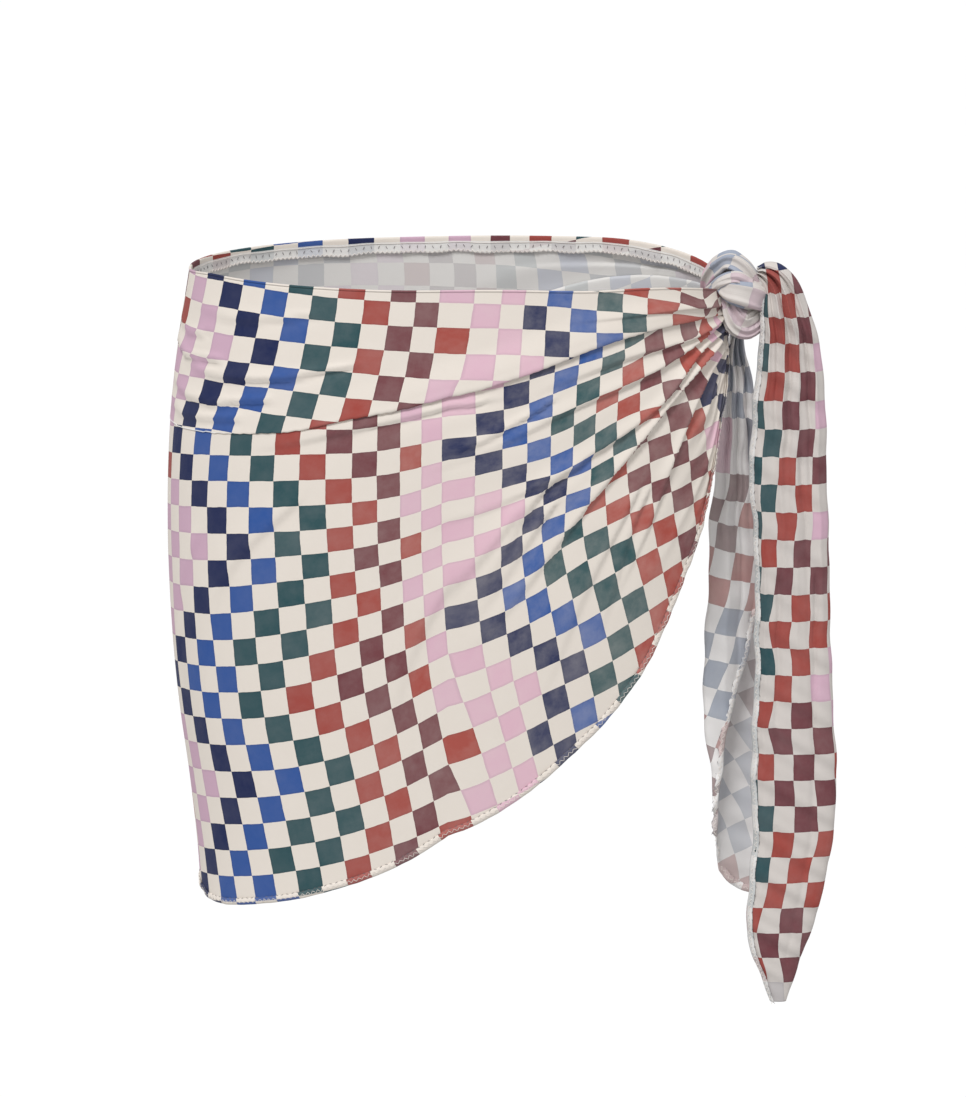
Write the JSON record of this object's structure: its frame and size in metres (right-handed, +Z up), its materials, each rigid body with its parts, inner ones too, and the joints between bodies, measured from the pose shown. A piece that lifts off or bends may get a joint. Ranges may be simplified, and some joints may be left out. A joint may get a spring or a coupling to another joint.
{
  "type": "short wrap sarong with side knot",
  "caption": "Short printed wrap sarong, wound round the hips and open below a curved hem, knotted at the wearer's left hip with a long and a short hanging end.",
  "frame": {"origin": "the middle of the waist opening, where the wearer's waist passes through, on the waist edge", "axes": "+X towards the wearer's left, where the knot is, +Y towards their back, +Z up"},
  "size_m": [0.4402, 0.237, 0.5015],
  "materials": {
    "printed_cloth": "matt sheer mesh with a printed check",
    "wrong_side": "matt sheer mesh, paler wrong side of the print",
    "hem_edge": "matt overlocked thread edge"
  },
  "bodies": {
    "root": {"front_wrap": "printed_cloth", "back_wrap": "printed_cloth", "waist_hem_front": "wrong_side", "waist_hem_back": "wrong_side", "lower_hem_front": "hem_edge", "lower_hem_back": "hem_edge", "knot_hood": "printed_cloth", "knot_wrap": "printed_cloth", "knot_bulge": "printed_cloth", "long_tail": "printed_cloth", "short_tail": "wrong_side"}
  },
  "joints": []
}
